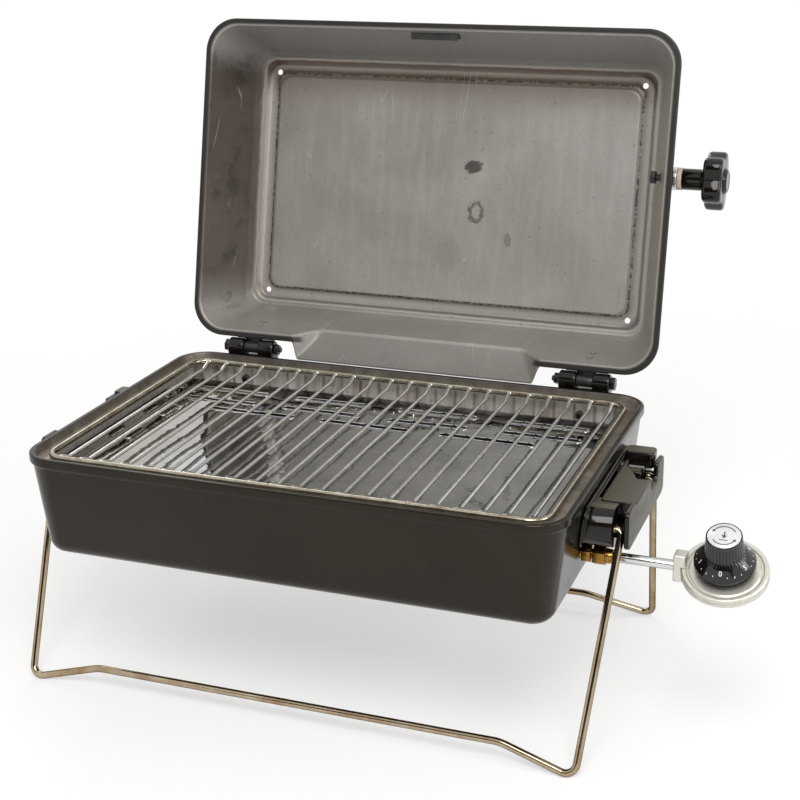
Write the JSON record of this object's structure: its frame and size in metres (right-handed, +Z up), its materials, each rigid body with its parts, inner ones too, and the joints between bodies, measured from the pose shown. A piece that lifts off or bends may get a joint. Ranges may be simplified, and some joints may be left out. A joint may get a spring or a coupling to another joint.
{
  "type": "folding tabletop gas grill",
  "caption": "Folding tabletop gas grill: rectangular firebox on folding wire legs, hinged lid, wire grate, slotted heat plate, side handles and a regulator on a short gas line.",
  "frame": {"origin": "middle of the underside of the whole object's box, on the ground the feet stand on", "axes": "+X towards the gas regulator, +Y towards the lid's hinges, +Z up"},
  "size_m": [0.6288, 0.447, 0.5225],
  "materials": {
    "black_enamel": "semi-gloss stove enamel",
    "lid_enamel": "satin heat-worn enamel",
    "black_plastic": "glossy moulding",
    "dark_steel": "dark oiled steel",
    "chrome": "plated wire",
    "bright_steel": "bright sheet",
    "gold_zinc": "yellow zinc plate",
    "burner_steel": "dull aluminised steel",
    "brass": "turned",
    "die_cast": "satin die casting",
    "rubber": "matt",
    "fibre": "plain fibre",
    "label": "silvered disc",
    "zinc": "bright zinc plate"
  },
  "bodies": {
    "grill": {"bracket_nut_left": "zinc", "bracket_nut_right": "zinc", "bracket_screw_left": "zinc", "bracket_screw_right": "zinc", "burner_bracket": "dark_steel", "burner_cover": "burner_steel", "burner_nut": "zinc", "burner_pan": "burner_steel", "burner_screw": "zinc", "connector_seal": "rubber", "cylinder_connector": "die_cast", "firebox": "black_enamel", "fitting_locknut": "brass", "gas_tube": "zinc", "handle_screw_left_front": "zinc", "handle_screw_left_rear": "zinc", "handle_screw_right_front": "zinc", "handle_screw_right_rear": "zinc", "heat_plate_support_left": "dark_steel", "heat_plate_support_right": "dark_steel", "hinge_bolt_left": "zinc", "hinge_bolt_right": "zinc", "hinge_bracket_left": "black_plastic", "hinge_bracket_right": "black_plastic", "hinge_nut_left": "zinc", "hinge_nut_right": "zinc", "orifice_fitting": "brass", "regulator_body": "die_cast", "regulator_cover": "die_cast", "regulator_inlet": "die_cast", "regulator_membrane": "rubber", "side_handle_left": "black_plastic", "side_handle_right": "black_plastic", "tube_nut": "brass", "venturi_tube": "burner_steel"},
    "lid": {"hinge_strap_left": "dark_steel", "hinge_strap_right": "dark_steel", "lid": "lid_enamel", "lid_catch": "dark_steel", "lid_knob": "black_plastic", "lid_knob_bolt": "zinc", "lid_knob_spacer": "zinc", "lid_knob_washer": "fibre", "strap_rivet_left_high": "zinc", "strap_rivet_left_low": "zinc", "strap_rivet_right_high": "zinc", "strap_rivet_right_low": "zinc"},
    "front_leg": {"front_leg": "gold_zinc", "front_leg_retainer_left": "zinc", "front_leg_retainer_right": "zinc"},
    "rear_leg": {"rear_leg": "gold_zinc", "rear_leg_retainer_left": "zinc", "rear_leg_retainer_right": "zinc"},
    "heat_plate": {"heat_plate": "bright_steel"},
    "cooking_grate": {"cooking_grate": "chrome"},
    "valve_stem": {"valve_stem": "brass", "valve_spring": "bright_steel"},
    "control_knob": {"control_knob": "black_plastic", "knob_label": "label"}
  },
  "joints": [
    {"name": "lid_hinge", "type": "hinge", "parent": "grill", "child": "lid", "pos_m": [-0.05285, 0.09063, 0.21399], "axis": [1, 0, 0], "range_deg": [0, 102.9]},
    {"name": "front_leg_fold", "type": "hinge", "parent": "grill", "child": "front_leg", "pos_m": [-0.05285, -0.12997, 0.17289], "axis": [-1, 0, 0], "range_deg": [0, 165]},
    {"name": "rear_leg_fold", "type": "hinge", "parent": "grill", "child": "rear_leg", "pos_m": [-0.05285, -0.01397, 0.17289], "axis": [-1, 0, 0], "range_deg": [0, 80]},
    {"name": "heat_plate_lift", "type": "slide", "parent": "grill", "child": "heat_plate", "axis": [0, 0, 1], "range_m": [0, 0.12]},
    {"name": "grate_lift", "type": "slide", "parent": "heat_plate", "child": "cooking_grate", "axis": [0, 0, 1], "range_m": [0, 0.12]},
    {"name": "valve_push", "type": "slide", "parent": "grill", "child": "valve_stem", "axis": [0, 0.3827, -0.9239], "range_m": [0, 0.0025], "stiffness_N_per_m": 800, "springref_m": -0.003},
    {"name": "knob_turn", "type": "hinge", "parent": "valve_stem", "child": "control_knob", "pos_m": [0.28115, -0.13148, 0.15353], "axis": [0, -0.3827, 0.9239], "range_deg": [0, 150]}
  ]
}
